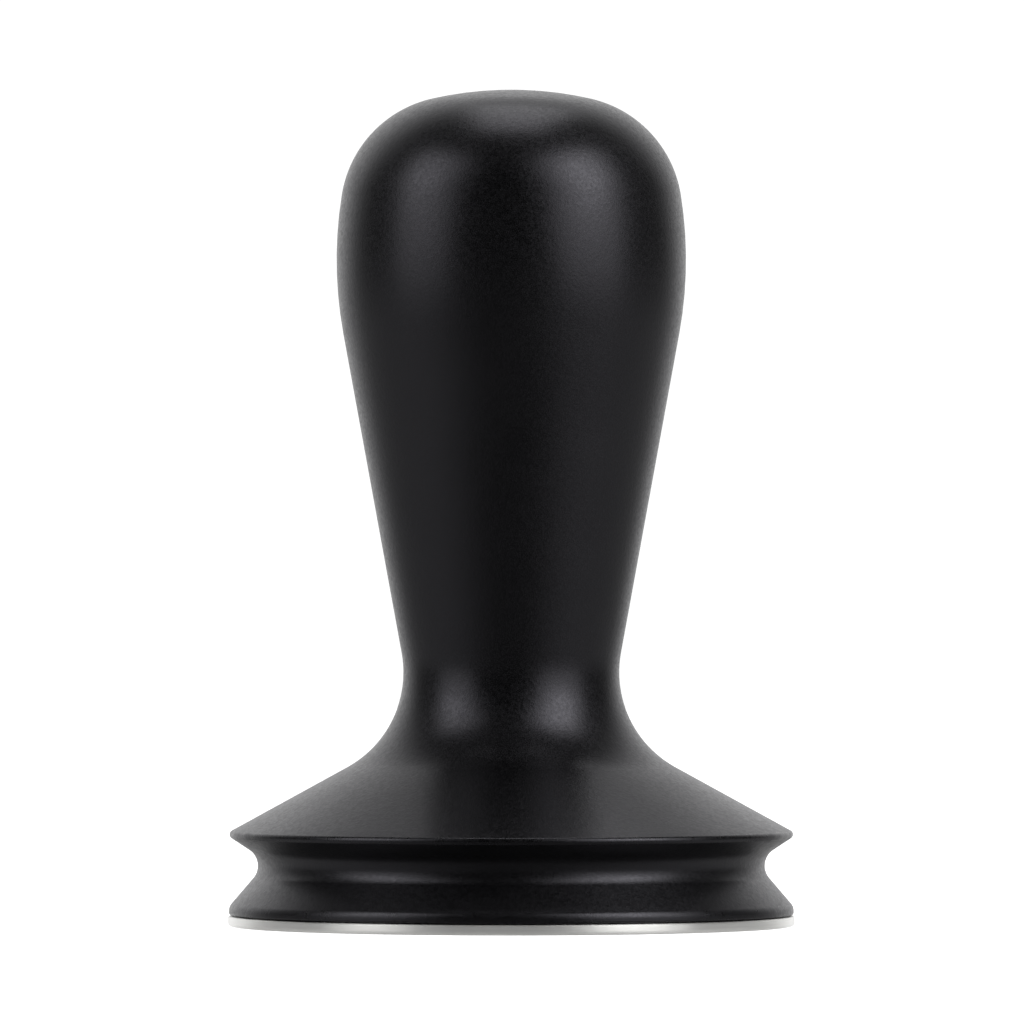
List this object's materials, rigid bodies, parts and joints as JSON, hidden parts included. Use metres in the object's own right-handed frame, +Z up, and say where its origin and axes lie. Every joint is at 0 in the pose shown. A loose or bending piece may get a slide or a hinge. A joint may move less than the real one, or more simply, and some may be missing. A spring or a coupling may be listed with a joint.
{
  "type": "espresso tamper",
  "caption": "Espresso tamper with a turned bulb handle that flares into a grooved skirt, and a flat steel tamping base that screws off.",
  "frame": {"origin": "centre of the flat tamping face, which the tamper stands on", "axes": "+Z up along the axis of the handle, from the tamping face to the crown; the part is round about it"},
  "size_m": [0.058, 0.058, 0.0855],
  "materials": {
    "black_anodised": "bead-blasted, black anodised",
    "polished_steel": "turned and polished stainless steel",
    "stud_steel": "plain stainless fastener",
    "insert_steel": "machined stainless bush",
    "nylon": "natural nylon",
    "seal_rubber": "nitrile rubber"
  },
  "bodies": {
    "base": {"tamping_base": "polished_steel", "base_stud": "stud_steel", "o_ring": "seal_rubber"},
    "washer": {"friction_washer": "nylon"},
    "handle": {"handle_body": "black_anodised", "thread_insert": "insert_steel"}
  },
  "joints": [
    {"name": "handle_turn", "type": "hinge", "parent": "base", "child": "washer", "pos_m": [0, 0, 0], "axis": [0, 0, 1], "range_deg": [0, 2880]},
    {"name": "handle_lift", "type": "slide", "parent": "washer", "child": "handle", "axis": [0, 0, 1], "range_m": [0, 0.0121]}
  ],
  "couplings": [
    {"joint": "handle_lift", "follows": "handle_turn", "m_per_rad": 0.00023873}
  ]
}
